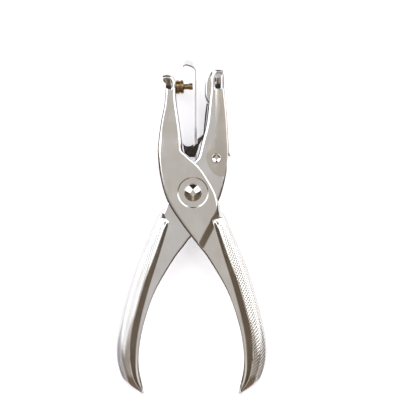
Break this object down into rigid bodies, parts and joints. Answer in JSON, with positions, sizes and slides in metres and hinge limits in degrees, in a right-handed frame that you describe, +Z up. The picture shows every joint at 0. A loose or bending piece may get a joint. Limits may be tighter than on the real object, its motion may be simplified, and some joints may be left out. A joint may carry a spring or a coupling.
{
  "type": "hand plier hole punch",
  "caption": "Plier-style hand punch for paper: two crossed steel levers, a short punch and die at the nose, a stripper strip and a swing-out chip cover.",
  "frame": {"origin": "centre of the flat rivet head underneath, on the table plane, on the pivot axis", "axes": "+Y from the handle ends to the nose, +Z up along the pivot rivet as the tool lies flat, +X from the punch jaw to the die jaw"},
  "size_m": [0.0685, 0.1524, 0.0159],
  "materials": {
    "plated_steel": "bright nickel plate on stamped sheet steel",
    "hard_steel": "hardened tool steel, straw tempered",
    "spring_steel": "oil blackened spring steel",
    "rivet_steel": "polished, nickel plated"
  },
  "bodies": {
    "die_side": {"die_lever": "plated_steel", "pivot_rivet": "rivet_steel", "pivot_sleeve": "rivet_steel", "cover_rivet": "rivet_steel", "die_block": "hard_steel", "return_spring": "spring_steel"},
    "punch_side": {"punch_lever": "plated_steel", "punch_pin": "hard_steel", "punch_collar": "hard_steel"},
    "stripper_arm": {"stripper": "plated_steel"},
    "cover": {"chip_cover": "plated_steel"}
  },
  "joints": [
    {"name": "jaw_pivot", "type": "hinge", "parent": "die_side", "child": "punch_side", "pos_m": [0, 0, 0.0073], "axis": [0, 0, -1], "range_deg": [0, 9.7], "stiffness_Nm_per_rad": 1.2, "springref_deg": -14.32, "deforming": ["return_spring"]},
    {"name": "stripper_swing", "type": "hinge", "parent": "die_side", "child": "stripper_arm", "pos_m": [0, 0, 0.0073], "axis": [0, 0, -1], "range_deg": [0, 4.2]},
    {"name": "cover_swing", "type": "hinge", "parent": "die_side", "child": "cover", "pos_m": [0.0105, 0.0153, 0.0073], "axis": [0, 0, -1], "range_deg": [0, 30]}
  ],
  "couplings": [
    {"joint": "stripper_swing", "follows": "jaw_pivot", "ratio": 0.423}
  ]
}
